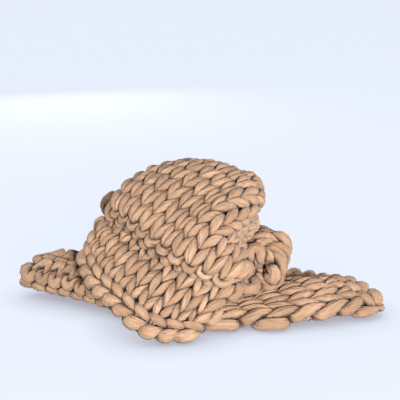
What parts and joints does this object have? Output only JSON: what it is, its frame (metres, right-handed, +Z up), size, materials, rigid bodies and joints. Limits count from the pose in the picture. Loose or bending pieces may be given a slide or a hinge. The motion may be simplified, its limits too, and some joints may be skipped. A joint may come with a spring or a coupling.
{
  "type": "weighted blanket",
  "caption": "Chunky hand-knitted weighted blanket in soft tan tube yarn, lying in a loose folded heap.",
  "frame": {"origin": "on the flat underside that lies on the floor, under the middle of the heap", "axes": "+Z up from the floor, +X towards the long flat tail, -Y towards the front where the cast-on edge shows"},
  "size_m": [1.0024, 1.0044, 0.3843],
  "materials": {
    "tan_knit": "matte tan jersey tube yarn, knitted in thick stockinette"
  },
  "bodies": {
    "root": {"blanket": "tan_knit"}
  },
  "joints": []
}
